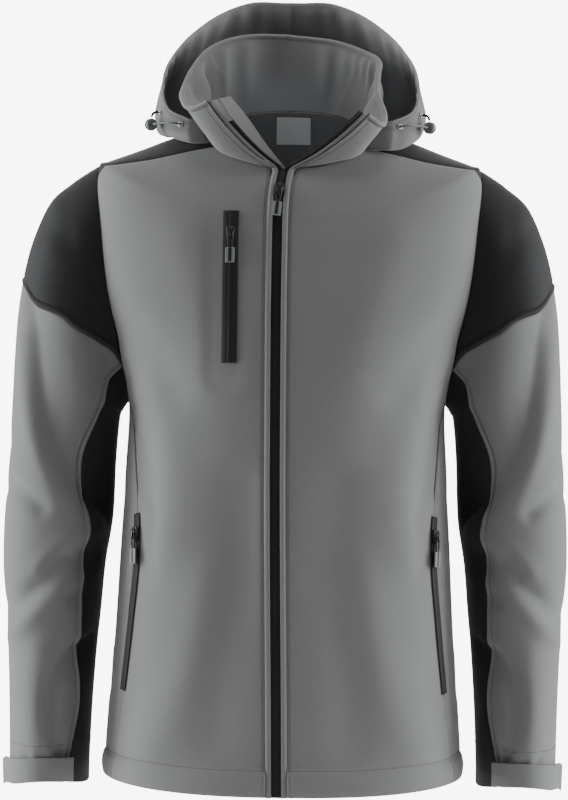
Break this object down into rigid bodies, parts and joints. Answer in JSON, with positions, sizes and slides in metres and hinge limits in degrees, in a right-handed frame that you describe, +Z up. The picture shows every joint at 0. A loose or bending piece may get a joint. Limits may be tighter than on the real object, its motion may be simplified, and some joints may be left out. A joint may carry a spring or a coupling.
{
  "type": "hooded softshell jacket",
  "caption": "Hooded zip-front softshell jacket, worn hollow form with open high collar, long sleeves with cuff tabs, zip pockets on chest and sides.",
  "frame": {"origin": "between the wearer's shoulders at the base of the neck, where the wearer carries the jacket", "axes": "+Z up, -Y the front, +X to the right of someone looking at the front"},
  "size_m": [0.6194, 0.3282, 0.8845],
  "materials": {
    "shell_grey": "matt softshell, fleece inside",
    "shell_black": "matt softshell, fleece inside",
    "zip_tape": "woven tape and coil",
    "slider": "black lacquer",
    "pull_tab": "moulded grip",
    "eyelet": "bright",
    "cord": "round elastic",
    "toggle": "moulded",
    "label": "woven satin"
  },
  "bodies": {
    "root": {"front_left": "shell_grey", "side_left": "shell_grey", "yoke_left": "shell_black", "cap_left": "shell_black", "sleeve_left": "shell_grey", "under_sleeve_left": "shell_black", "cuff_tab_left": "shell_grey", "hood_left": "shell_grey", "zip_tape_left": "zip_tape", "zip_welt_left": "shell_grey", "pocket_zip_left": "zip_tape", "pocket_left_slider": "slider", "eyelet_front_left": "eyelet", "eyelet_side_left": "eyelet", "hood_cord_left": "cord", "toggle_left": "toggle", "tether_left": "zip_tape", "front_right": "shell_grey", "side_right": "shell_grey", "yoke_right": "shell_black", "cap_right": "shell_black", "sleeve_right": "shell_grey", "under_sleeve_right": "shell_black", "cuff_tab_right": "shell_grey", "hood_right": "shell_grey", "zip_tape_right": "zip_tape", "zip_welt_right": "shell_grey", "pocket_zip_right": "zip_tape", "pocket_right_slider": "slider", "eyelet_front_right": "eyelet", "eyelet_side_right": "eyelet", "hood_cord_right": "cord", "toggle_right": "toggle", "tether_right": "zip_tape", "back": "shell_grey", "collar": "shell_grey", "wind_flap": "shell_grey", "chest_zip": "zip_tape", "neck_label": "label", "front_slider": "slider", "chest_slider": "slider"},
    "front_pull": {"front_pull": "pull_tab"},
    "chest_pull": {"chest_pull": "pull_tab"},
    "pocket_left_pull": {"pocket_left_pull": "pull_tab"},
    "pocket_right_pull": {"pocket_right_pull": "pull_tab"}
  },
  "joints": [
    {"name": "front_pull_swing", "type": "hinge", "parent": "root", "child": "front_pull", "pos_m": [-0.01085, -0.10904, -0.06363], "axis": [-0.9947, 0.0487, 0.0902], "range_deg": [0, 170]},
    {"name": "chest_pull_swing", "type": "hinge", "parent": "root", "child": "chest_pull", "pos_m": [-0.06146, -0.12403, -0.11197], "axis": [-0.9972, 0.0725, -0.0154], "range_deg": [0, 170]},
    {"name": "pocket_left_pull_swing", "type": "hinge", "parent": "root", "child": "pocket_left_pull", "pos_m": [-0.16192, -0.08324, -0.4295], "axis": [-0.617, 0.7787, -0.1135], "range_deg": [0, 170]},
    {"name": "pocket_right_pull_swing", "type": "hinge", "parent": "root", "child": "pocket_right_pull", "pos_m": [0.16192, -0.08324, -0.4295], "axis": [-0.617, -0.7787, 0.1135], "range_deg": [0, 170]}
  ]
}
